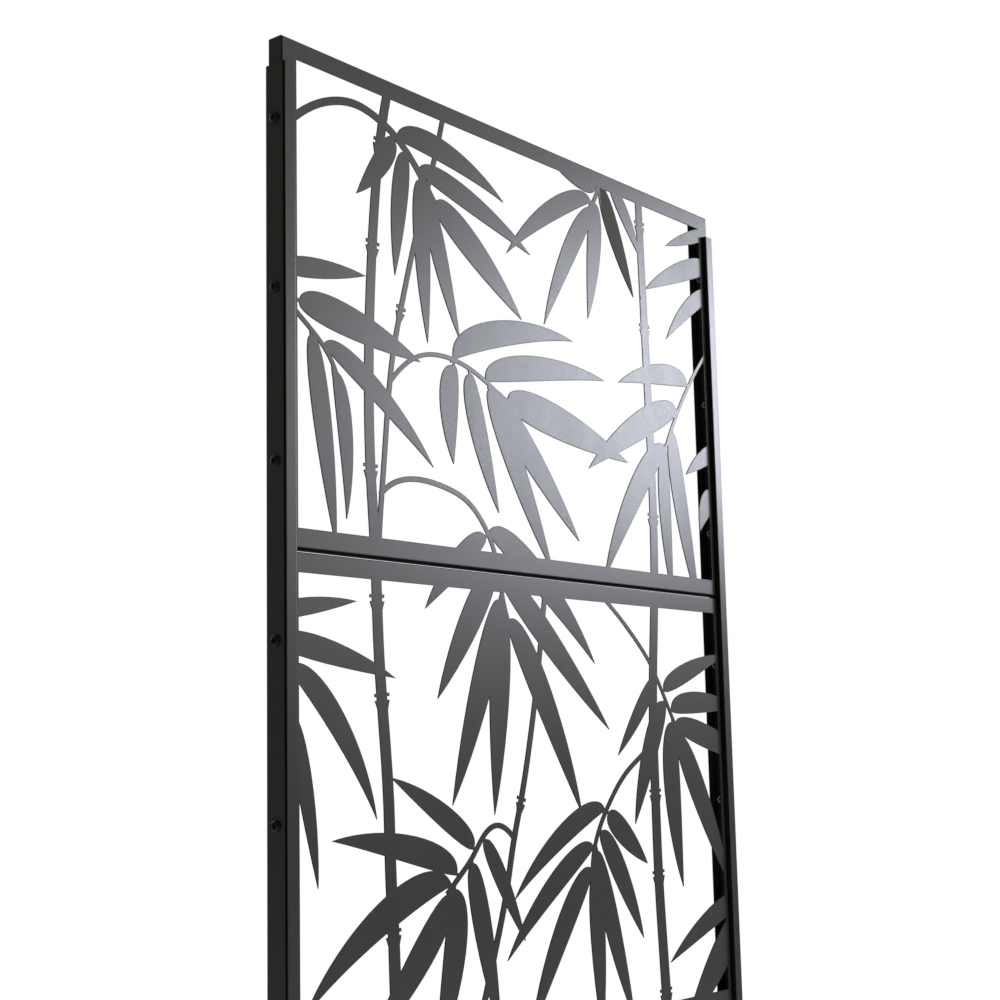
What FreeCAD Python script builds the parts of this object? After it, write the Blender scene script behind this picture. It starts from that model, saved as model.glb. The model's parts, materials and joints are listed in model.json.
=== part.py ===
import FreeCAD, Part
import os
import re

Vector = FreeCAD.Vector
Rotation = FreeCAD.Rotation
Placement = FreeCAD.Placement

# Driving sizes of the screen, in millimetres.
# The screen stands on z = 0, x runs along its width and its face looks towards -y.
driving_sizes = {
    # folded sheet panels
    "panel_width": 904.0,
    "panel_height": 596.0,
    "panel_depth": 22.0,
    "panel_gap": 4.0,
    "sheet_gauge": 1.5,
    "border_width": 23.0,
    "picture_inset": 7.0,
    "return_lip": 20.0,
    "panel_bend": 2.0,
    "ground_clearance": 60.0,
    # folded posts
    "post_wall": 2.5,
    "post_flange": 20.0,
    "post_proud": 7.5,
    "post_behind": 0.5,
    "post_setdown": 34.0,
    "post_bend": 3.5,
    # screws and bolts with button heads
    "screw_dia": 6.0,
    "screw_length": 16.0,
    "screw_play": 0.3,
    "head_dia": 13.0,
    "head_height": 3.6,
    "head_round": 2.4,
    "socket_flats": 4.0,
    "socket_deep": 2.0,
    "screw_below_top": 100.0,
    "screw_above_bottom": 96.0,
    # rivet nuts in the side flanges
    "rivet_flange_dia": 12.0,
    "rivet_flange_thick": 1.5,
    "rivet_body_dia": 9.0,
    "rivet_body_length": 14.0,
    "rivet_bulge_dia": 11.0,
    "rivet_bulge_thick": 3.0,
    "rivet_play": 0.1,
    "thread_play": 0.1,
    # feet
    "bar_width": 50.0,
    "bar_length": 420.0,
    "bar_thick": 6.0,
    "bar_margin": 1.0,
    "bar_corner": 8.0,
    "anchor_dia": 9.0,
    "anchor_inset": 30.0,
    "bracket_gauge": 4.0,
    "bracket_width": 20.0,
    "bracket_height": 46.0,
    "bracket_length": 40.0,
    "bolt_low": 18.0,
    "bolt_pitch": 18.0,
    "bolt_length": 14.0,
    "foot_screw_first": 16.0,
    "foot_screw_pitch": 15.0,
    "foot_screw_length": 16.0,
    "countersink_dia": 12.0,
    "countersink_recess": 0.4,
    "nut_flats": 10.0,
    "nut_height": 5.0,
}

panel_names = ("bottom", "middle", "top")
screws_per_side = 3

# The picture: x from the middle of the screen and height from its top edge, both in millimetres.
# A stalk is a line of points with its breadth at the top and at the foot, and the heights of its joints.
stalks = [
    {
        "line": [(-273, -10), (-289, -85), (-302, -190), (-310, -300), (-313, -400), (-311, -500),
                 (-305, -590), (-301, -700), (-293, -800), (-287, -880), (-285, -960), (-281, -1040),
                 (-278, -1130), (-270, -1240), (-264, -1380), (-261, -1560), (-265, -1800)],
        "breadth": (14, 20),
        "joints": [-81, -212, -486, -640, -755, -1024, -1262, -1440, -1640],
    },
    {
        "line": [(-169, -10), (-191, -85), (-213, -150), (-231, -205), (-254, -283), (-271, -350),
                 (-279, -400), (-288, -480), (-297, -560), (-301, -620)],
        "breadth": (8, 8),
        "joints": [-284],
    },
    {
        "line": [(266, -10), (268, -100), (271, -210), (274, -320), (277, -480), (273, -600),
                 (264, -700), (258, -800), (258, -880), (259, -990), (264, -1090), (269, -1180),
                 (272, -1300), (275, -1450), (277, -1620), (275, -1800)],
        "breadth": (16, 23),
        "joints": [-50, -206, -487, -880, -992, -1153, -1345, -1520, -1690],
    },
    {
        "line": [(18, -610), (4, -690), (-9, -755), (-22, -810), (-43, -885), (-61, -940), (-77, -1000),
                 (-100, -1065), (-130, -1142), (-162, -1215), (-190, -1300), (-213, -1420),
                 (-227, -1560), (-235, -1690), (-238, -1800)],
        "breadth": (9, 11),
        "joints": [-882, -1362, -1600],
    },
]

# A branch is a twig with its leaves: stem end, point, breadth and bow to the left of the way it points.
# Leaves with no twig grow out of a border.
branches = [
    {   # arch from the left border, top panel
        "twig": [(-445, -106), (-402, -71), (-362, -53), (-329, -48), (-298, -53), (-260, -69),
                 (-226, -96), (-191, -136)],
        "thick": 10,
        "leaves": [
            ((-266, -71), (-52, -101), 32, 20), ((-225, -99), (3, -161), 31, 10),
            ((-262, -66), (-331, -160), 29, 5), ((-243, -78), (-265, -247), 29, -3),
            ((-217, -106), (-207, -321), 30, -2), ((-204, -121), (-146, -305), 30, -4),
            ((-195, -132), (-19, -255), 41, 6),
        ],
    },
    {   # hanging from the top rail
        "twig": [(170, -12), (160, -36), (142, -61)],
        "thick": 7,
        "leaves": [
            ((165, -26), (66, -19), 28, 0), ((153, -47), (-48, -170), 30, -19),
            ((156, -55), (30, -252), 31, -11), ((155, -42), (131, -224), 32, 5),
            ((170, -16), (245, -170), 32, -2), ((192, -9), (266, -106), 25, 5),
        ],
    },
    {   # twig from the right border, top panel
        "twig": [(445, -212), (388, -275), (354, -321), (318, -380)],
        "thick": 6,
        "leaves": [
            ((386, -279), (199, -305), 32, -15), ((354, -321), (122, -439), 42, -12),
            ((319, -379), (152, -590), 38, -16), ((314, -379), (322, -610), 30, -9),
            ((334, -352), (393, -622), 36, -8),
        ],
    },
    {   # right border, top panel
        "leaves": [
            ((458, -24), (335, -71), 21, -2), ((461, -79), (275, -152), 32, -9),
            ((463, -121), (328, -217), 27, -12), ((467, -368), (368, -418), 27, -5),
            ((457, -440), (401, -501), 35, -14),
        ],
    },
    {   # twig from the left border, top panel
        "twig": [(-445, -313), (-406, -342), (-384, -361), (-367, -386)],
        "thick": 6,
        "leaves": [
            ((-408, -341), (-369, -591), 29, 2), ((-373, -377), (-352, -556), 24, 11),
            ((-393, -352), (-200, -477), 28, 13),
        ],
    },
    {   # left border, top panel
        "leaves": [((-460, -277), (-316, -259), 25, 2), ((-432, -310), (-221, -348), 40, 5)],
    },
    {   # spray in the middle of the top panel
        "twig": [(-278, -384), (-251, -357), (-222, -340), (-188, -333), (-150, -335), (-113, -345),
                 (-55, -373)],
        "thick": 6,
        "leaves": [
            ((-165, -337), (94, -264), 36, 25), ((-103, -351), (166, -308), 35, 16),
            ((-158, -334), (-162, -468), 35, -9), ((-130, -340), (-75, -521), 33, -6),
            ((-92, -354), (36, -591), 37, -1), ((-92, -358), (96, -543), 40, 3),
            ((-59, -368), (217, -419), 48, 5),
        ],
    },
    {   # arch that hangs across the rail of the top and the middle panel
        "twig": [(-296, -522), (-263, -501), (-220, -495), (-181, -499), (-138, -512), (-106, -539),
                 (-86, -572), (-73, -622), (-61, -660)],
        "thick": 7,
        "leaves": [
            ((-98, -550), (-219, -652), 30, -7), ((-103, -545), (123, -708), 38, 19),
            ((-82, -590), (152, -797), 37, 2), ((-86, -591), (-199, -760), 38, -2),
            ((-75, -627), (-175, -888), 40, 2), ((-76, -631), (-96, -902), 40, 3),
            ((-64, -652), (85, -908), 39, 10),
        ],
    },
    {   # left border, middle panel
        "leaves": [
            ((-480, -674), (-336, -650), 21, 3), ((-471, -699), (-273, -737), 29, 6),
            ((-452, -725), (-307, -899), 30, 22), ((-444, -773), (-401, -970), 24, 5),
        ],
    },
    {   # twig from the rail to the right, middle panel
        "twig": [(140, -612), (190, -646), (219, -669), (255, -703), (280, -737), (305, -776),
                 (324, -806)],
        "thick": 6,
        "leaves": [
            ((282, -743), (451, -685), 28, 6), ((299, -769), (488, -765), 32, 10),
            ((308, -788), (552, -858), 35, 6), ((316, -799), (448, -1030), 40, 3),
            ((307, -779), (321, -1019), 40, -11), ((291, -752), (207, -926), 36, -6),
            ((269, -720), (171, -832), 24, 1),
        ],
    },
    {   # spray in the lower middle, middle panel
        "twig": [(262, -808), (232, -830), (190, -855), (147, -896), (125, -925), (111, -952),
                 (105, -992)],
        "thick": 7,
        "leaves": [
            ((143, -902), (-60, -1008), 29, -19), ((114, -948), (-77, -1081), 30, -14),
            ((108, -975), (-35, -1176), 34, -12), ((108, -980), (117, -1199), 32, 1),
            ((114, -952), (191, -1186), 34, -3), ((123, -927), (218, -1080), 33, 5),
            ((139, -905), (233, -981), 33, 0),
        ],
    },
    {   # spray in the lower left, middle panel
        "twig": [(-56, -937), (-73, -921), (-94, -915), (-115, -924), (-140, -951), (-165, -973),
                 (-188, -992)],
        "thick": 7,
        "leaves": [
            ((-132, -944), (-283, -852), 28, -7), ((-163, -971), (-380, -920), 33, -14),
            ((-172, -981), (-422, -1103), 38, -29), ((-178, -989), (-331, -1155), 38, 6),
            ((-173, -979), (-216, -1186), 39, 14), ((-142, -952), (-93, -1167), 33, 0),
            ((-120, -926), (-41, -1060), 24, 2),
        ],
    },
    {   # right border, middle panel
        "leaves": [((483, -1044), (282, -1120), 31, -10), ((483, -1063), (310, -1221), 48, -4)],
    },
    {   # left border, bottom panel
        "leaves": [
            ((-463, -1265), (-322, -1238), 30, 5), ((-462, -1297), (-326, -1398), 36, 13),
            ((-458, -1340), (-384, -1520), 36, 8),
        ],
    },
    {   # spray from the right stalk, bottom panel
        "twig": [(270, -1296), (232, -1268), (182, -1260), (134, -1276), (98, -1308), (74, -1352)],
        "thick": 7,
        "leaves": [
            ((159, -1264), (-32, -1322), 33, -18), ((122, -1285), (-56, -1424), 35, -14),
            ((92, -1315), (4, -1526), 38, -7), ((78, -1343), (92, -1566), 36, -4),
            ((96, -1311), (174, -1516), 37, 5), ((130, -1279), (230, -1458), 34, 8),
        ],
    },
    {   # twig from the right border, bottom panel
        "twig": [(445, -1412), (400, -1450), (364, -1500), (340, -1556)],
        "thick": 7,
        "leaves": [
            ((397, -1455), (200, -1524), 35, -14), ((364, -1503), (186, -1646), 38, -13),
            ((344, -1547), (298, -1752), 37, -7), ((346, -1541), (398, -1762), 37, 7),
        ],
    },
    {   # right border, bottom panel
        "leaves": [
            ((463, -1245), (316, -1326), 33, -12), ((464, -1309), (342, -1408), 32, -10),
            ((463, -1585), (404, -1690), 31, -6),
        ],
    },
    {   # spray from the thin stalk, bottom panel
        "twig": [(-222, -1496), (-182, -1464), (-122, -1457), (-72, -1481), (-28, -1534)],
        "thick": 7,
        "leaves": [
            ((-178, -1463), (-166, -1664), 36, -7), ((-120, -1457), (-100, -1700), 38, 5),
            ((-75, -1479), (-4, -1712), 37, 6), ((-37, -1524), (130, -1700), 38, 10),
            ((-59, -1498), (160, -1588), 38, 15),
        ],
    },
    {   # twig from the left border, bottom panel
        "twig": [(-445, -1528), (-404, -1542), (-376, -1564), (-358, -1590)],
        "thick": 7,
        "leaves": [
            ((-405, -1541), (-216, -1606), 35, 13), ((-361, -1585), (-302, -1748), 35, 7),
            ((-376, -1563), (-392, -1762), 35, -7),
        ],
    },
]

# A leaf's neck, in millimetres.
leaf_neck = 7.0
neck_breadth = 4.0
neck_overlap = 6.0

# How a leaf's blade swells: shares of its length, of its half breadth and of its bow.
leaf_shoulder = -0.02
leaf_belly = 0.60
shoulder_swell = 1.50
belly_swell = 1.17
shoulder_bow = 1.20
belly_bow = 1.50

# A stalk's joint: a thin ring, a gap and a collar that tapers into the stalk below.
joint_overhang = 4.0
joint_ring = 4.0
joint_gap = 4.0
joint_taper = 11.0

doc = FreeCAD.newDocument("bamboo_screen")
sheet = doc.addObject("Spreadsheet::Sheet", "Sizes")
for row, (alias, value) in enumerate(driving_sizes.items(), start=1):
    sheet.set(f"A{row}", alias)
    sheet.set(f"B{row}", str(value))
    sheet.setAlias(f"B{row}", alias)
doc.recompute()


def size(alias):
    return float(getattr(sheet, alias))


def formula(text):
    def cell(word):
        return f"Sizes.{word.group()}" if word.group() in driving_sizes else word.group()

    return re.sub(r"[a-z_]+", cell, text)


def bind(item, **texts):
    for prop, text in texts.items():
        item.setExpression(prop, formula(text))


def place(item, x, y, z):
    item.setExpression("Placement.Base.x", formula(x))
    item.setExpression("Placement.Base.y", formula(y))
    item.setExpression("Placement.Base.z", formula(z))


# Places that several pieces share, worked out from the driving sizes.
panel_pitch = "(panel_height + panel_gap)"
screen_top = "(ground_clearance + 3 * panel_height + 2 * panel_gap)"
half_depth = "((post_proud + panel_depth + post_behind) / 2)"
face_y = "((post_proud - panel_depth - post_behind) / 2)"
panel_back = "((post_proud + panel_depth - post_behind) / 2)"
screw_y = "0"
bolt_y = "((post_proud - post_behind) / 2)"
panel_side = "(panel_width / 2)"
web_inside = "(panel_width / 2 + rivet_flange_thick)"
web_outside = "(panel_width / 2 + rivet_flange_thick + post_wall)"
post_foot = "bar_thick"
post_length = f"({screen_top} - post_setdown - bar_thick)"
bar_outside = f"({web_outside} + bar_margin)"
bar_middle = f"({bar_outside} - bar_width / 2)"

upright = Rotation()
along_x = Rotation(Vector(0, 1, 0), 90)


def box(name, length, width, height, x, y, z):
    item = doc.addObject("Part::Box", name)
    bind(item, Length=length, Width=width, Height=height)
    place(item, x, y, z)
    return item


def rod(name, radius, length, x, y, z, turn=upright):
    item = doc.addObject("Part::Cylinder", name)
    item.Placement = Placement(Vector(), turn)
    bind(item, Radius=radius, Height=length)
    place(item, x, y, z)
    return item


def cone(name, lower_radius, upper_radius, height, x, y, z):
    item = doc.addObject("Part::Cone", name)
    bind(item, Radius1=lower_radius, Radius2=upper_radius, Height=height)
    place(item, x, y, z)
    return item


def hexagon(name, flats, height, x, y, z, turn=upright):
    item = doc.addObject("Part::Prism", name)
    item.Polygon = 6
    item.Placement = Placement(Vector(), turn)
    bind(item, Circumradius=f"{flats} / 2 / cos(30 deg)", Height=height)
    place(item, x, y, z)
    return item


def fuse(name, pieces):
    item = doc.addObject("Part::MultiFuse", name)
    item.Shapes = pieces
    item.Refine = True
    return item


def cut(name, base, tools):
    item = doc.addObject("Part::Cut", name)
    item.Base = base
    item.Tool = tools[0] if len(tools) == 1 else fuse(f"{name}_cutter", tools)
    return item


def group(name, pieces):
    item = doc.addObject("Part::Compound", name)
    item.Links = pieces
    return item


# Rounds the edges of a piece whose middle the test accepts.
def rounded(name, base, radius, accepts):
    doc.recompute()
    item = doc.addObject("Part::Fillet", name)
    item.Base = base
    numbers = [n for n, edge in enumerate(base.Shape.Edges, start=1) if accepts(edge.BoundBox.Center, edge)]
    item.Edges = [(n, radius, radius) for n in numbers]
    return item


# The picture is stretched to reach from side to side and over all the panels.
drawn_reach = max(abs(x) for branch in branches for x, height in branch.get("twig", []))
drawn_height = -min(height for stalk in stalks for x, height in stalk["line"])
picture_top = size("ground_clearance") + 3 * size("panel_height") + 2 * size("panel_gap")
picture_y = (size("post_proud") - size("panel_depth") - size("post_behind")) / 2
stretch_x = (size("panel_width") / 2 - size("picture_inset")) / drawn_reach
stretch_z = 3 * (size("panel_height") + size("panel_gap")) / drawn_height


def drawn(place):
    return Vector(place[0], 0, place[1])


def on_face(point):
    return Vector(point.x * stretch_x, picture_y, picture_top + point.z * stretch_z)


def left_of(along):
    return Vector(-along.z, 0, along.x).normalize()


# A leaf's blade and the neck that carries it.
def leaf_faces(stem, point, breadth, bow):
    foot = drawn(stem)
    tip = drawn(point)
    way = (tip - foot).normalize()
    root = foot + way * leaf_neck
    along = tip - root
    across = left_of(along)
    edges = []
    for side in (1, -1):
        swell = side * breadth / 2
        shoulder = root + along * leaf_shoulder + across * (swell * shoulder_swell + bow * shoulder_bow)
        belly = root + along * leaf_belly + across * (swell * belly_swell + bow * belly_bow)
        curve = Part.BezierCurve()
        curve.setPoles([on_face(pole) for pole in (root, shoulder, belly, tip)])
        edges.append(curve.toShape())
    blade = Part.Face(Part.Wire(edges))
    half = neck_breadth / 2
    return [blade, slice_face(foot, way, half, half, 0, leaf_neck + neck_overlap)]


# A band of changing breadth along a smooth line through the given places.
def band_face(line, first_breadth, last_breadth):
    points = [drawn(place) for place in line]
    last = len(points) - 1
    sides = ([], [])
    for n, point in enumerate(points):
        across = left_of(points[min(n + 1, last)] - points[max(n - 1, 0)])
        half = (first_breadth + (last_breadth - first_breadth) * n / last) / 2
        sides[0].append(on_face(point + across * half))
        sides[1].append(on_face(point - across * half))
    edges = []
    for side in sides:
        curve = Part.BSplineCurve()
        curve.interpolate(side)
        edges.append(curve.toShape())
    edges.append(Part.makeLine(sides[0][0], sides[1][0]))
    edges.append(Part.makeLine(sides[0][-1], sides[1][-1]))
    return Part.Face(Part.Wire(Part.__sortEdges__(edges)))


# A slice across a stalk or a neck between two distances along it.
def slice_face(middle, along, first_half, last_half, start, end):
    across = left_of(along)
    corners = [
        middle + along * start + across * first_half,
        middle + along * end + across * last_half,
        middle + along * end - across * last_half,
        middle + along * start - across * first_half,
    ]
    outline = [on_face(corner) for corner in corners]
    return Part.Face(Part.makePolygon(outline + outline[:1]))


# The ring and the collar of a stalk's joint at the given height.
def joint_faces(stalk, height):
    points = [drawn(place) for place in stalk["line"]]
    above, below = next(pair for pair in zip(points, points[1:]) if pair[0].z >= height > pair[1].z)
    middle = above + (below - above) * ((above.z - height) / (above.z - below.z))
    along = (below - above).normalize()
    run = (points[0].z - height) / (points[0].z - points[-1].z)
    first, last = stalk["breadth"]
    half = (first + (last - first) * run) / 2
    wide = half + joint_overhang
    collar = joint_ring + joint_gap
    return [
        slice_face(middle, along, wide, wide, 0, joint_ring),
        slice_face(middle, along, wide, half, collar, collar + joint_taper),
    ]


def picture_faces():
    faces = []
    for stalk in stalks:
        faces.append(band_face(stalk["line"], *stalk["breadth"]))
        for height in stalk["joints"]:
            faces += joint_faces(stalk, height)
    for branch in branches:
        if "twig" in branch:
            faces.append(band_face(branch["twig"], branch["thick"], branch["thick"]))
        for leaf in branch["leaves"]:
            faces += leaf_faces(*leaf)
    return faces


# The part of the picture that lies in one panel's window, let into its border so that they join.
def fretwork(name, bottom, picture):
    reach_x = size("panel_width") / 2 - size("border_width") / 2
    low = bottom + size("border_width") / 2
    high = bottom + size("panel_height") - size("border_width") / 2
    places = ((-reach_x, low), (reach_x, low), (reach_x, high), (-reach_x, high))
    corners = [Vector(x, picture_y, z) for x, z in places]
    window = Part.Face(Part.makePolygon(corners + corners[:1]))
    inside = [face for face in picture if face.BoundBox.ZMax > low and face.BoundBox.ZMin < high]
    drawing = doc.addObject("Part::Feature", f"{name}_drawing")
    drawing.Shape = inside[0].multiFuse(inside[1:]).common(window).removeSplitter()
    item = doc.addObject("Part::Extrusion", f"{name}_fretwork")
    item.Base = drawing
    item.DirMode = "Custom"
    item.Dir = Vector(0, 1, 0)
    item.Solid = True
    bind(item, LengthFwd="sheet_gauge")
    return item


# Heights of a panel's screws: one near its bottom, one near its top and the rest evenly between them.
def screw_heights(bottom):
    span = "(panel_height - screw_above_bottom - screw_below_top)"
    gaps = screws_per_side - 1
    return [f"({bottom} + screw_above_bottom + {n} * {span} / {gaps})" for n in range(screws_per_side)]


# One panel: a folded tray with side lips, its window, the holes for its rivet nuts and its picture.
def make_panel(name, bottom, picture):
    blank = box(f"{name}_blank", "panel_width", "panel_depth", "panel_height",
                f"-{panel_side}", face_y, bottom)
    doc.recompute()
    front = blank.Shape.BoundBox.YMin
    bend = size("panel_bend")
    folded = rounded(f"{name}_folded", blank, bend, lambda middle, edge: middle.y - front < 1e-6)
    hollow = box(f"{name}_hollow", "panel_width - 2 * sheet_gauge", "panel_depth - 2 * sheet_gauge",
                 "panel_height - 2 * sheet_gauge", f"-{panel_side} + sheet_gauge", f"{face_y} + sheet_gauge",
                 f"{bottom} + sheet_gauge")
    back = box(f"{name}_back", "panel_width - 2 * return_lip", "2 * sheet_gauge",
               "panel_height - 2 * sheet_gauge", f"-{panel_side} + return_lip",
               f"{panel_back} - 1.5 * sheet_gauge", f"{bottom} + sheet_gauge")
    window = box(f"{name}_window", "panel_width - 2 * border_width", "2 * sheet_gauge",
                 "panel_height - 2 * border_width", f"-{panel_side} + border_width",
                 f"{face_y} - sheet_gauge / 2", f"{bottom} + border_width")
    holes = [
        rod(f"{name}_nut_hole_{n}", "rivet_body_dia / 2 + rivet_play", "panel_width + 2 * sheet_gauge",
            f"-{panel_side} - sheet_gauge", screw_y, height, along_x)
        for n, height in enumerate(screw_heights(bottom))
    ]
    tray = cut(f"{name}_tray", folded, [hollow, back, window, *holes])
    doc.recompute()
    return fuse(f"{name}_panel", [tray, fretwork(name, blank.Shape.BoundBox.ZMin, picture)])


# The place along x of a piece that lies between two distances from the middle, on the left or the right.
def lower_x(side, nearer, further):
    return nearer if side > 0 else f"-{further}"


def make_rivet_nut(name, side, height):
    nearer = f"({panel_side} - rivet_body_length)"
    outside = web_inside
    bulge_nearer = f"({panel_side} - sheet_gauge - rivet_bulge_thick)"
    bulge_further = f"({panel_side} - sheet_gauge)"
    flange = rod(f"{name}_flange", "rivet_flange_dia / 2", "rivet_flange_thick",
                 lower_x(side, panel_side, outside), screw_y, height, along_x)
    body = rod(f"{name}_body", "rivet_body_dia / 2", "rivet_body_length",
               lower_x(side, nearer, panel_side), screw_y, height, along_x)
    bulge = rod(f"{name}_bulge", "rivet_bulge_dia / 2", "rivet_bulge_thick",
                lower_x(side, bulge_nearer, bulge_further), screw_y, height, along_x)
    bore = rod(f"{name}_bore", "screw_dia / 2 + thread_play", "rivet_body_length + 2 * rivet_flange_thick",
               lower_x(side, nearer, f"({outside} + rivet_flange_thick)"), screw_y, height, along_x)
    return cut(name, fuse(f"{name}_turned", [flange, body, bulge]), [bore])


# A button-headed screw that comes in through a post's web from the outside.
def make_screw(name, side, y, height, length):
    crown = f"({web_outside} + head_height)"
    socket_floor = f"({crown} - socket_deep)"
    shank_end = f"({web_outside} - {length})"
    shank = rod(f"{name}_shank", "screw_dia / 2", length, lower_x(side, shank_end, web_outside),
                y, height, along_x)
    blank = rod(f"{name}_blank", "head_dia / 2", "head_height", lower_x(side, web_outside, crown),
                y, height, along_x)
    doc.recompute()
    reach = max(abs(blank.Shape.BoundBox.XMin), abs(blank.Shape.BoundBox.XMax))
    crown_round = size("head_round")
    head = rounded(f"{name}_head", blank, crown_round, lambda middle, edge: reach - abs(middle.x) < 1e-6)
    socket = hexagon(f"{name}_socket", "socket_flats", "2 * socket_deep",
                     lower_x(side, socket_floor, f"({socket_floor} + 2 * socket_deep)"),
                     y, height, along_x)
    return cut(name, fuse(f"{name}_turned", [shank, head]), [socket])


def make_post(name, side, cross_holes):
    web = box(f"{name}_web", "post_wall", f"2 * {half_depth}", post_length,
              lower_x(side, web_inside, web_outside), f"-{half_depth}", post_foot)
    lip_edge = f"({web_outside} - post_flange)"
    flange = box(f"{name}_flange", "post_flange", "post_wall", post_length,
                 lower_x(side, lip_edge, web_outside), f"-{half_depth}", post_foot)
    lip = box(f"{name}_lip", "post_wall", "post_proud", post_length,
              lower_x(side, lip_edge, f"({lip_edge} + post_wall)"), f"-{half_depth}", post_foot)
    section = fuse(f"{name}_section", [web, flange, lip])
    doc.recompute()
    front = section.Shape.BoundBox.YMin
    outer = (section.Shape.BoundBox.XMin, section.Shape.BoundBox.XMax)

    def is_fold(middle, edge):
        at_side = min(abs(middle.x - x) for x in outer) < 1e-6
        return at_side and abs(middle.y - front) < 1e-6 and edge.BoundBox.ZLength > size("post_flange")

    folded = rounded(f"{name}_folded", section, size("post_bend"), is_fold)
    holes = [
        rod(f"{name}_hole_{n}", "screw_dia / 2 + screw_play", "3 * post_wall",
            lower_x(side, f"({web_inside} - post_wall)", f"({web_outside} + post_wall)"),
            y, height, along_x)
        for n, (y, height) in enumerate(cross_holes)
    ]
    return cut(name, folded, holes)


def foot_screw_places(side):
    places = []
    for n in range(2):
        offset = f"({web_inside} - foot_screw_first - {n} * foot_screw_pitch)"
        places.append(offset if side > 0 else f"-{offset}")
    return places


def make_foot_bar(name, side):
    inside = f"({bar_outside} - bar_width)"
    blank = box(f"{name}_blank", "bar_width", "bar_length", "bar_thick", lower_x(side, inside, bar_outside),
                "-bar_length / 2", "0")
    corner = size("bar_corner")
    flat = rounded(f"{name}_flat", blank, corner, lambda middle, edge: edge.BoundBox.ZLength > 1e-6)
    middle_x = bar_middle if side > 0 else f"-{bar_middle}"
    holes = [
        rod(f"{name}_anchor_{n}", "anchor_dia / 2", "3 * bar_thick", middle_x,
            f"{way} * (bar_length / 2 - anchor_inset)", "-bar_thick")
        for n, way in enumerate((-1, 1))
    ]
    for n, x in enumerate(foot_screw_places(side)):
        holes.append(rod(f"{name}_screw_hole_{n}", "screw_dia / 2 + screw_play", "3 * bar_thick",
                         x, bolt_y, "-bar_thick"))
        holes.append(cone(f"{name}_countersink_{n}", "countersink_dia / 2 + countersink_recess",
                          "screw_dia / 2", "(countersink_dia - screw_dia) / 2 + countersink_recess",
                          x, bolt_y, "0"))
    return cut(name, flat, holes)


def bolt_heights():
    return [f"(bar_thick + bolt_low + {n} * bolt_pitch)" for n in range(2)]


def make_bracket(name, side):
    leg_inside = f"({web_inside} - bracket_gauge)"
    shelf_inside = f"({web_inside} - bracket_length)"
    leg = box(f"{name}_leg", "bracket_gauge", "bracket_width", "bracket_height",
              lower_x(side, leg_inside, web_inside), f"{bolt_y} - bracket_width / 2", "bar_thick")
    shelf = box(f"{name}_shelf", "bracket_length", "bracket_width", "bracket_gauge",
                lower_x(side, shelf_inside, web_inside), f"{bolt_y} - bracket_width / 2", "bar_thick")
    holes = [
        rod(f"{name}_bolt_hole_{n}", "screw_dia / 2 + screw_play", "3 * bracket_gauge",
            lower_x(side, f"({leg_inside} - bracket_gauge)", f"({web_inside} + bracket_gauge)"),
            bolt_y, height, along_x)
        for n, height in enumerate(bolt_heights())
    ]
    holes += [
        rod(f"{name}_screw_hole_{n}", "screw_dia / 2 + screw_play", "3 * bracket_gauge", x, bolt_y,
            "bar_thick - bracket_gauge")
        for n, x in enumerate(foot_screw_places(side))
    ]
    return cut(name, fuse(f"{name}_angle", [leg, shelf]), holes)


def make_bolt_nut(name, side, height):
    nearer = f"({web_inside} - bracket_gauge - nut_height)"
    further = f"({web_inside} - bracket_gauge)"
    blank = hexagon(f"{name}_blank", "nut_flats", "nut_height", lower_x(side, nearer, further),
                    bolt_y, height, along_x)
    bore = rod(f"{name}_bore", "screw_dia / 2 + thread_play", "3 * nut_height",
               lower_x(side, f"({nearer} - nut_height)", f"({further} + nut_height)"),
               bolt_y, height, along_x)
    return cut(name, blank, [bore])


def make_foot_screw(name, x):
    head = cone(f"{name}_head", "countersink_dia / 2", "screw_dia / 2", "(countersink_dia - screw_dia) / 2",
                x, bolt_y, "countersink_recess")
    shank = rod(f"{name}_shank", "screw_dia / 2", "foot_screw_length", x, bolt_y, "countersink_recess")
    return fuse(name, [head, shank])


def make_foot_nut(name, x):
    blank = hexagon(f"{name}_blank", "nut_flats", "nut_height", x, bolt_y, "bar_thick + bracket_gauge")
    bore = rod(f"{name}_bore", "screw_dia / 2 + thread_play", "3 * nut_height", x, bolt_y,
               "bar_thick + bracket_gauge - nut_height")
    return cut(name, blank, [bore])


sides = {"left": -1, "right": 1}
picture = picture_faces()
nodes = []
all_screw_heights = []

for level, panel in enumerate(panel_names):
    bottom = f"(ground_clearance + {level} * {panel_pitch})"
    heights = screw_heights(bottom)
    all_screw_heights += heights
    nodes.append(make_panel(panel, bottom, picture))
    screws = []
    rivet_nuts = []
    for side_name, side in sides.items():
        for n, height in enumerate(heights):
            screws.append(make_screw(f"{panel}_{side_name}_screw_{n}", side, screw_y, height, "screw_length"))
            rivet_nuts.append(make_rivet_nut(f"{panel}_{side_name}_rivet_nut_{n}", side, height))
    nodes.append(group(f"{panel}_panel_screws", screws))
    nodes.append(group(f"{panel}_panel_rivet_nuts", rivet_nuts))

cross_holes = [(screw_y, height) for height in all_screw_heights]
cross_holes += [(bolt_y, height) for height in bolt_heights()]

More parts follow.
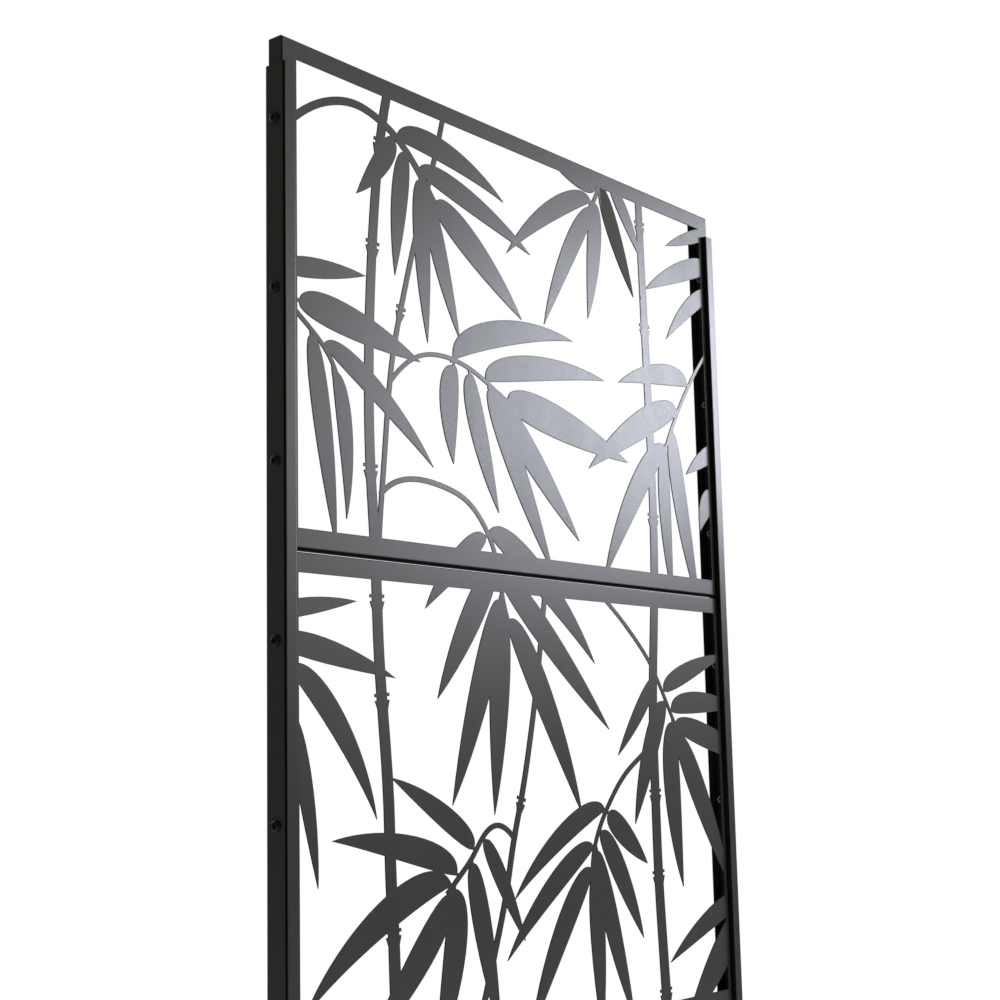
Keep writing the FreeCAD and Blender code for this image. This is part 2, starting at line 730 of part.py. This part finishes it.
for side_name, side in sides.items():
    nodes.append(make_post(f"{side_name}_post", side, cross_holes))
    nodes.append(make_foot_bar(f"{side_name}_foot_bar", side))
    nodes.append(make_bracket(f"{side_name}_foot_bracket", side))
    nodes.append(group(f"{side_name}_post_bolts", [
        make_screw(f"{side_name}_bolt_{n}", side, bolt_y, height, "bolt_length")
        for n, height in enumerate(bolt_heights())
    ]))
    nodes.append(group(f"{side_name}_post_nuts", [
        make_bolt_nut(f"{side_name}_nut_{n}", side, height) for n, height in enumerate(bolt_heights())
    ]))
    nodes.append(group(f"{side_name}_foot_screws", [
        make_foot_screw(f"{side_name}_foot_screw_{n}", x) for n, x in enumerate(foot_screw_places(side))
    ]))
    nodes.append(group(f"{side_name}_foot_nuts", [
        make_foot_nut(f"{side_name}_foot_nut_{n}", x) for n, x in enumerate(foot_screw_places(side))
    ]))

doc.recompute()

for item in doc.Objects:
    if "Invalid" in item.State or "Error" in item.State:
        raise RuntimeError(f"{item.Label} failed: {item.State}")
for node in nodes:
    if node.Shape.isNull() or not node.Shape.isValid():
        raise RuntimeError(f"{node.Label} has no valid shape")
    if node.Label.endswith("_panel") and len(node.Shape.Solids) != 1:
        raise RuntimeError(f"{node.Label} is in {len(node.Shape.Solids)} pieces")

os.makedirs("parts", exist_ok=True)
for node in nodes:
    node.Shape.exportStep(os.path.join("parts", f"{node.Label}.step"))
    print(node.Label, len(node.Shape.Solids), "solids", round(node.Shape.Volume / 1000, 2), "cm3")
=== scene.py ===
import json
import math

import bmesh
import bpy
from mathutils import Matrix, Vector

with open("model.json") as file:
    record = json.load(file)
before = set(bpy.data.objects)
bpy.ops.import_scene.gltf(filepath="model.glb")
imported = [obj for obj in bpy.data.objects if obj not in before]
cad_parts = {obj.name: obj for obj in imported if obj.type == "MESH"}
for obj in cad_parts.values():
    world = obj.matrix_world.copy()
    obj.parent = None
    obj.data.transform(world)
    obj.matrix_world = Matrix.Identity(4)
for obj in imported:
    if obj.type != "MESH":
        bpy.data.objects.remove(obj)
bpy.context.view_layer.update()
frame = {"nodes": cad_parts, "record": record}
nodes = frame["nodes"]
print("frame loaded with", len(nodes), "pieces")


# wraps a socket, so that shader sums read as plain expressions
class Wire:
    def __init__(self, socket):
        self.socket = socket
        self.tree = socket.id_data

    # any node: its type, its settings, then its sockets
    @staticmethod
    def node(tree, kind, settings=None, sockets=None, out=0):
        made = tree.nodes.new(kind)
        for name, value in (settings or {}).items():
            setattr(made, name, value)
        for name, value in (sockets or {}).items():
            if isinstance(value, Wire):
                tree.links.new(value.socket, made.inputs[name])
            else:
                made.inputs[name].default_value = value
        return Wire(made.outputs[out]) if len(made.outputs) else made

    def sum(self, operation, first, second):
        return Wire.node(self.tree, "ShaderNodeMath", {"operation": operation}, {0: first, 1: second})

    def __add__(self, other):
        return self.sum("ADD", self, other)

    def __radd__(self, other):
        return self.sum("ADD", other, self)

    def __sub__(self, other):
        return self.sum("SUBTRACT", self, other)

    def __rsub__(self, other):
        return self.sum("SUBTRACT", other, self)

    def __mul__(self, other):
        return self.sum("MULTIPLY", self, other)

    def __rmul__(self, other):
        return self.sum("MULTIPLY", other, self)

    def larger(self, other):
        return self.sum("MAXIMUM", self, other)

    def clamped(self, low=0.0, high=1.0):
        return Wire.node(self.tree, "ShaderNodeClamp", {}, {"Value": self, "Min": low, "Max": high})

    # how far a noise is above or below its middle
    def swing(self):
        return self - 0.5


def newFinish(name):
    finish = bpy.data.materials.new(name)
    finish.use_nodes = True
    finish.node_tree.nodes.clear()
    return finish, finish.node_tree


def closeFinish(tree, surface):
    Wire.node(tree, "ShaderNodeOutputMaterial", {}, {"Surface": surface})


def objectPlace(tree):
    return Wire.node(tree, "ShaderNodeTexCoord", out="Object")


def surfaceNormal(tree):
    return Wire.node(tree, "ShaderNodeNewGeometry", out="Normal")


def mixColour(tree, share, first, second):
    return Wire.node(tree, "ShaderNodeMix", {"data_type": "RGBA"}, {0: share, 6: first, 7: second}, out=2)


def mixTones(tree, share, first, second):
    return mixColour(tree, share, (*first, 1), (*second, 1))


def noise(tree, place, scale, detail=2.0, rough=0.5):
    return Wire.node(tree, "ShaderNodeTexNoise", {},
                     {"Vector": place, "Scale": scale, "Detail": detail, "Roughness": rough})


def vectorStep(tree, operation, sockets, out=0):
    return Wire.node(tree, "ShaderNodeVectorMath", {"operation": operation}, sockets, out)


def partOf(tree, vector, axis):
    return Wire.node(tree, "ShaderNodeSeparateXYZ", {}, {0: vector}, out=axis)


# the three parts of a vector, without their signs
def sizes(tree, vector):
    bare = vectorStep(tree, "ABSOLUTE", {0: vector})
    return [partOf(tree, bare, axis) for axis in "XYZ"]


def stretched(tree, place, scale):
    return Wire.node(tree, "ShaderNodeMapping", {}, {"Vector": place, "Scale": scale})


def smoothRise(tree, value, low, high):
    return Wire.node(tree, "ShaderNodeMapRange", {"interpolation_type": "SMOOTHSTEP"},
                     {"Value": value, "From Min": low, "From Max": high})


# random cells, of which only those above the least show
def flecks(tree, place, scale, least, full):
    cell = Wire.node(tree, "ShaderNodeTexVoronoi", {"feature": "F1"},
                     {"Vector": place, "Scale": scale}, out="Color")
    shade = Wire.node(tree, "ShaderNodeSeparateColor", {}, {"Color": cell})
    return smoothRise(tree, shade, least, full)


def softened(tree, radius, samples):
    return Wire.node(tree, "ShaderNodeBevel", {"samples": samples}, {"Radius": radius})


# grows towards an edge, where the softened normal turns away from the true one
def edgeTurn(tree, softNormal, normal, gain):
    facing = vectorStep(tree, "DOT_PRODUCT", {0: softNormal, 1: normal}, out="Value")
    return ((1 - facing) * gain).clamped()


# one leaf below the top rail leans a little out of its sheet, and so mirrors a darker part of the room
leaningLeaf = {"from": (0.1734, 1.833), "to": (0.245, 1.686), "half": 0.0185, "neck": 0.32, "flare": 22.0,
               "spare": 0.008, "lean": (-0.25, 0.0, 0.06),
               "sideGain": 900.0, "railGain": 700.0, "tipGain": 500.0}


def leaned(tree, place, normal, leaf):
    start, end = Vector(leaf["from"]), Vector(leaf["to"])
    way = (end - start).normalized()
    sideways = partOf(tree, place, "X") - start.x
    upwards = partOf(tree, place, "Z") - start.y
    along = sideways * way.x + upwards * way.y
    across = sideways * -way.y + upwards * way.x
    reach = leaf["half"] * (leaf["neck"] + leaf["flare"] * along).clamped()
    upon = ((reach - across.larger(-1.0 * across)) * leaf["sideGain"]).clamped()
    upon = upon * (-leaf["railGain"] * upwards).clamped()     # not on the rail that carries it
    upon = upon * (((end - start).length + leaf["spare"] - along) * leaf["tipGain"]).clamped()
    front = partOf(tree, normal, "Y") * -1.0                  # the back leans the other way
    lean = vectorStep(tree, "SCALE", {0: leaf["lean"], "Scale": upon * front})
    return vectorStep(tree, "NORMALIZE", {0: vectorStep(tree, "ADD", {0: normal, 1: lean})})


# powder coat on folded sheet: fine pebbled skin, metal flecks, a little dust, and painted shade along the
# edges, on the folds and in the gaps
sprayedCoat = {
    # noises are scale, detail and roughness
    "cloud": (3.2, 3.0), "smear": (1.6, 4.0, 0.6), "smearStretch": (9, 9, 2.2),
    "pebbleDetail": 1.5, "skinDepth": 0.0003,
    "fleckLeast": 0.62, "glintLeast": 0.84, "fleckFull": 0.98,
    "mottle": (0.7, 2.0, 0.7),                                # its scale is a share of the glint's
    # edge, rim, fold, inner and cut set the painted shade along the edges, on the folds, on the cut edges and
    # in the gaps
    "edgeSamples": 6, "rimGain": 9.0, "rimEven": (0.7, 0.3),
    "foldGain": 6.0, "innerGain": 400.0, "cutBelow": 0.8, "cutGain": 2.5, "cut": 0.85,
    "dustAbove": 0.6, "dustGain": 2.4, "dustEven": (0.25, 0.5), "dust": 0.30,
    # black is the colour of that painted shade
    "black": (0.006, 0.0055, 0.005), "dustTone": (0.20, 0.19, 0.175),
    "paleBase": 0.10, "paleBy": {"cloud": 0.30, "bright": 0.40, "glint": 0.60},
    "roughBy": {"smear": 0.10, "cloud": 0.06, "mottle": 0.12, "dust": 0.18, "dark": 0.30, "glint": 0.04},
    "metalBy": {"bright": 0.30, "glint": 0.26, "mottle": 0.34, "dust": 0.2},
    "roughLeast": 0.05, "shine": 0.55,
}
# edge, rim, inner and fold set where and how strongly the painted shade lies on each coat
panelCoat = {**sprayedCoat, "name": "panelCoat", "tone": (0.046, 0.043, 0.040), "pale": (0.072, 0.070, 0.070),
             "rough": 0.36, "metal": 0.18, "pebble": 1500, "skin": 0.16, "fleck": 2600,
             "glint": 640, "edge": 0.003, "rim": 0.45, "inner": 0.447, "fold": 0.9}
postCoat = {**sprayedCoat, "name": "postCoat", "tone": (0.038, 0.036, 0.033), "pale": (0.062, 0.060, 0.059),
            "rough": 0.34, "metal": 0.16, "pebble": 1500, "skin": 0.16, "fleck": 2600,
            "glint": 640, "edge": 0.002, "rim": 0.3, "inner": 0.447, "fold": 1.0}
footCoat = {**sprayedCoat, "name": "footCoat", "tone": (0.034, 0.032, 0.030), "pale": (0.060, 0.058, 0.056),
            "rough": 0.46, "metal": 0.12, "pebble": 900, "skin": 0.26, "fleck": 2000,
            "glint": 560, "edge": 0.002, "rim": 0.4, "inner": 0.0, "fold": 0.5}


def powderCoat(recipe):
    finish, tree = newFinish(recipe["name"])
    place = objectPlace(tree)
    normal = surfaceNormal(tree)
    cloud = noise(tree, place, *recipe["cloud"])              # broad drift of the spray
    smear = noise(tree, stretched(tree, place, recipe["smearStretch"]), *recipe["smear"])
    pebble = noise(tree, place, recipe["pebble"], recipe["pebbleDetail"])
    bright = flecks(tree, place, recipe["fleck"], recipe["fleckLeast"], recipe["fleckFull"])
    # the few flakes large enough to see
    glint = flecks(tree, place, recipe["glint"], recipe["glintLeast"], recipe["fleckFull"])
    share, detail, coarse = recipe["mottle"]
    mottle = noise(tree, place, recipe["glint"] * share, detail, coarse)
    # painted shade: the coat is made dark and dull along every cut or folded edge
    even, patchy = recipe["rimEven"]
    softNormal = softened(tree, recipe["edge"], recipe["edgeSamples"])
    rim = edgeTurn(tree, softNormal, normal, recipe["rimGain"]) * (even + patchy * smear)
    # and painted shade, darkest on the folds, on the cut edges and inside the gaps
    turnX, turnY, turnZ = sizes(tree, normal)
    fold = ((1 - turnX.larger(turnY).larger(turnZ)) * recipe["foldGain"]).clamped()
    within = ((recipe["inner"] - sizes(tree, place)[0]) * recipe["innerGain"]).clamped()
    cut = ((recipe["cutBelow"] - turnY) * recipe["cutGain"]).clamped() * within
    dark = (rim * recipe["rim"]).larger(fold * recipe["fold"]).larger(cut * recipe["cut"])
    # dust that settles on what looks up
    even, patchy = recipe["dustEven"]
    up = partOf(tree, normal, "Z")
    dust = ((up - recipe["dustAbove"]) * recipe["dustGain"]).clamped() * (even + patchy * smear)
    by = recipe["paleBy"]
    pale = (recipe["paleBase"] + by["cloud"] * cloud + by["bright"] * bright + by["glint"] * glint).clamped()
    body = mixTones(tree, pale, recipe["tone"], recipe["pale"])
    # the painted shade mixes the body towards black
    shadePaintedBody = mixColour(tree, dark, body, (*recipe["black"], 1))
    dusty = mixColour(tree, dust * recipe["dust"], shadePaintedBody, (*recipe["dustTone"], 1))
    by = recipe["roughBy"]
    rough = (recipe["rough"] + smear.swing() * by["smear"] + cloud.swing() * by["cloud"]
             + mottle.swing() * by["mottle"] + dust * by["dust"] + dark * by["dark"] - glint * by["glint"])
    by = recipe["metalBy"]
    metal = (recipe["metal"] + by["bright"] * bright + by["glint"] * glint
             + mottle.swing() * by["mottle"] - dust * by["dust"]).clamped()
    # painted shade is made fully metallic, so it shows no sheen of its own
    metal = metal.larger(dark)                                # black, without a sheen of its own
    skin = Wire.node(tree, "ShaderNodeBump", {},
                     {"Height": pebble, "Strength": recipe["skin"], "Distance": recipe["skinDepth"],
                      "Normal": leaned(tree, place, normal, leaningLeaf)})
    shader = Wire.node(tree, "ShaderNodeBsdfPrincipled", {},
                       {"Base Color": dusty, "Roughness": rough.clamped(recipe["roughLeast"]),
                        "Metallic": metal, "Normal": skin, "Specular IOR Level": recipe["shine"]})
    closeFinish(tree, shader)
    return finish


# black oxide on the screws and bolts, rubbed along the edges
blackScrew = {"name": "blackScrew", "tone": (0.006, 0.006, 0.0065), "rubbed": (0.07, 0.07, 0.074),
              "mottle": (260, 3.0, 0.6), "grit": (3800, 2.0), "skin": 0.18, "skinDepth": 0.0001,
              "edge": 0.0005, "edgeSamples": 4, "edgeGain": 3.5, "wear": 0.5,
              "rough": 0.34, "roughSwing": 0.24, "roughLeast": 0.08, "metal": 0.35, "metalWear": 0.6}


def oxideSteel(recipe):
    finish, tree = newFinish(recipe["name"])
    place = objectPlace(tree)
    mottle = noise(tree, place, *recipe["mottle"])
    grit = noise(tree, place, *recipe["grit"])
    softNormal = softened(tree, recipe["edge"], recipe["edgeSamples"])
    rubbed = edgeTurn(tree, softNormal, surfaceNormal(tree), recipe["edgeGain"]) * mottle
    shade = mixTones(tree, rubbed * recipe["wear"], recipe["tone"], recipe["rubbed"])
    rough = recipe["rough"] + mottle.swing() * recipe["roughSwing"]
    skin = Wire.node(tree, "ShaderNodeBump", {},
                     {"Height": grit, "Strength": recipe["skin"], "Distance": recipe["skinDepth"],
                      "Normal": softNormal})
    shader = Wire.node(tree, "ShaderNodeBsdfPrincipled", {},
                       {"Base Color": shade, "Roughness": rough.clamped(recipe["roughLeast"]),
                        "Metallic": (recipe["metal"] + rubbed * recipe["metalWear"]).clamped(),
                        "Normal": skin})
    closeFinish(tree, shader)
    return finish


# zinc plate on the nuts and rivet nuts
zincNut = {"name": "zincNut", "tone": (0.50, 0.51, 0.53), "cast": (0.60, 0.58, 0.50),
           "bloom": (180, 3.0, 0.6), "grit": (2600, 2.0), "lines": (1.0, 2.0), "lineStretch": (300, 2600, 2600),
           "skin": 0.10, "skinDepth": 0.0001, "rough": 0.30, "roughBloom": 0.30, "roughGrit": 0.08,
           "roughLeast": 0.08, "metal": 0.86, "metalBloom": 0.14}


def zincPlate(recipe):
    finish, tree = newFinish(recipe["name"])
    place = objectPlace(tree)
    bloom = noise(tree, place, *recipe["bloom"])
    grit = noise(tree, place, *recipe["grit"])
    lines = noise(tree, stretched(tree, place, recipe["lineStretch"]), *recipe["lines"])
    shade = mixTones(tree, bloom, recipe["tone"], recipe["cast"])
    rough = recipe["rough"] + bloom.swing() * recipe["roughBloom"] + grit.swing() * recipe["roughGrit"]
    skin = Wire.node(tree, "ShaderNodeBump", {},
                     {"Height": lines, "Strength": recipe["skin"], "Distance": recipe["skinDepth"]})
    shader = Wire.node(tree, "ShaderNodeBsdfPrincipled", {},
                       {"Base Color": shade, "Roughness": rough.clamped(recipe["roughLeast"]),
                        "Metallic": (recipe["metal"] + bloom * recipe["metalBloom"]).clamped(),
                        "Normal": skin})
    closeFinish(tree, shader)
    return finish


finishes = {"panel_coat": powderCoat(panelCoat), "post_coat": powderCoat(postCoat),
            "foot_coat": powderCoat(footCoat), "black_screws": oxideSteel(blackScrew),
            "zinc_nuts": zincPlate(zincNut)}
for part in frame["record"]["subparts"]:
    piece = nodes[part["node"]]
    piece.data.materials.clear()
    piece.data.materials.append(finishes[part["material_slot"]])
print("finishes given to", len(nodes), "pieces")


# pale floor that fades out into the white room
floorSet = {"radius": 4.6, "segments": 128, "drop": 0.0004, "fade": (2.6, 4.5),
            "tone": (0.86, 0.86, 0.86), "grain": (0.80, 0.795, 0.785), "drift": (1.3, 4.0), "grit": (90, 3.0),
            "driftShare": 0.6, "gritShare": 0.2, "rough": 0.7, "roughGrit": 0.1, "glow": 0.30}


def paleFloor(recipe):
    finish, tree = newFinish("paleFloor")
    place = objectPlace(tree)
    drift = noise(tree, place, *recipe["drift"])
    grit = noise(tree, place, *recipe["grit"])
    shade = mixTones(tree, drift * recipe["driftShare"] + grit * recipe["gritShare"],
                     recipe["tone"], recipe["grain"])
    away = vectorStep(tree, "LENGTH", {0: place}, out="Value")
    gone = smoothRise(tree, away, *recipe["fade"])
    ground = Wire.node(tree, "ShaderNodeBsdfPrincipled", {},
                       {"Base Color": shade, "Roughness": recipe["rough"] + recipe["roughGrit"] * grit,
                        "Emission Color": shade, "Emission Strength": recipe["glow"]})
    clear = Wire.node(tree, "ShaderNodeBsdfTransparent")
    closeFinish(tree, Wire.node(tree, "ShaderNodeMixShader", {}, {0: gone, 1: ground, 2: clear}))
    return finish


def layFloor(recipe):
    shape = bmesh.new()
    bmesh.ops.create_circle(shape, cap_ends=True, segments=recipe["segments"], radius=recipe["radius"])
    bmesh.ops.translate(shape, verts=shape.verts, vec=(0, 0, -recipe["drop"]))
    mesh = bpy.data.meshes.new("floor")
    shape.to_mesh(mesh)
    shape.free()
    floor = bpy.data.objects.new("floor", mesh)
    floor.data.materials.append(paleFloor(recipe))
    bpy.context.scene.collection.objects.link(floor)


layFloor(floorSet)
print("floor laid")


# soft studio light: one large softbox at the right, two weak fills, a white room around
softboxes = {
    "highRight": {"spot": (2.58, -1.56, 2.17), "aim": (0.24, 0.0, 1.52), "size": (1.2, 0.9),
                  "power": 52, "tint": (0.84, 0.885, 1.0)},
    "frontFill": {"spot": (1.0, -4.2, 2.6), "aim": (0.0, 0.0, 1.0), "size": (2.4, 2.4),
                  "power": 38, "tint": (1.0, 0.93, 0.84)},
    "backFill": {"spot": (0.8, 4.0, 3.0), "aim": (0.0, 0.0, 0.9), "size": (2.6, 2.6),
                 "power": 60, "tint": (1.0, 1.0, 1.0)},
}


def hangSoftbox(name, recipe):
    lamp = bpy.data.lights.new(name, "AREA")
    lamp.shape = "RECTANGLE"
    lamp.size, lamp.size_y = recipe["size"]
    lamp.energy = recipe["power"]
    lamp.color = recipe["tint"]
    stand = bpy.data.objects.new(name, lamp)
    stand.location = recipe["spot"]
    sight = Vector(recipe["aim"]) - Vector(recipe["spot"])
    stand.rotation_euler = sight.to_track_quat("-Z", "Y").to_euler()
    bpy.context.scene.collection.objects.link(stand)


for name, recipe in softboxes.items():
    hangSoftbox(name, recipe)

# the room is white to the eye, and lights the screen most from the right and least from the front left
roomSet = {"seen": 1.0, "seenTint": (1, 1, 1), "around": 0.16, "low": 0.0, "high": 0.20, "dark": 0.85,
           "tint": (1.0, 0.94, 0.85),
           "right": ((1, 0, 0), (-0.6, 0.7)), "up": ((0, 0, 1), (-0.02, 0.34)),
           "frontLeft": ((-0.66, -0.75, 0), (0.3, 0.95))}


def whiteRoom(recipe):
    room = bpy.data.worlds.new("whiteRoom")
    bpy.context.scene.world = room
    room.use_nodes = True
    tree = room.node_tree
    tree.nodes.clear()
    direct = Wire.node(tree, "ShaderNodeLightPath", out="Is Camera Ray")
    way = Wire.node(tree, "ShaderNodeTexCoord", out="Generated")

    def towards(side):
        axis, reach = recipe[side]
        along = vectorStep(tree, "DOT_PRODUCT", {0: way, 1: axis}, out="Value")
        return smoothRise(tree, along, *reach)

    lift = recipe["low"] + (recipe["high"] - recipe["low"]) * towards("up")
    glow = (recipe["around"] + towards("right") * lift) * (1 - recipe["dark"] * towards("frontLeft"))
    strength = glow * (1 - direct) + direct * recipe["seen"]
    tint = mixTones(tree, direct, recipe["tint"], recipe["seenTint"])
    shell = Wire.node(tree, "ShaderNodeBackground", {}, {"Color": tint, "Strength": strength})
    Wire.node(tree, "ShaderNodeOutputWorld", {}, {"Surface": shell})


whiteRoom(roomSet)
print("lights hung")


# the camera stands low at the left front and looks a little up
cameraSet = {"lens": 59.717, "sensor": 36, "shift": (0.0, 0.02), "clip": (0.05, 100),
             "spot": (-1.703, -1.3438, 1.0218), "turn": (98.219, 1.241, -50.457)}


def setCamera(recipe):
    eye = bpy.data.cameras.new("camera")
    eye.sensor_width = recipe["sensor"]
    eye.lens = recipe["lens"]
    eye.shift_x, eye.shift_y = recipe["shift"]
    eye.clip_start, eye.clip_end = recipe["clip"]
    stand = bpy.data.objects.new("camera", eye)
    stand.location = recipe["spot"]
    stand.rotation_euler = [math.radians(angle) for angle in recipe["turn"]]
    bpy.context.scene.collection.objects.link(stand)
    bpy.context.scene.camera = stand


setCamera(cameraSet)
bpy.context.scene.view_settings.view_transform = "Standard"
print("camera set")
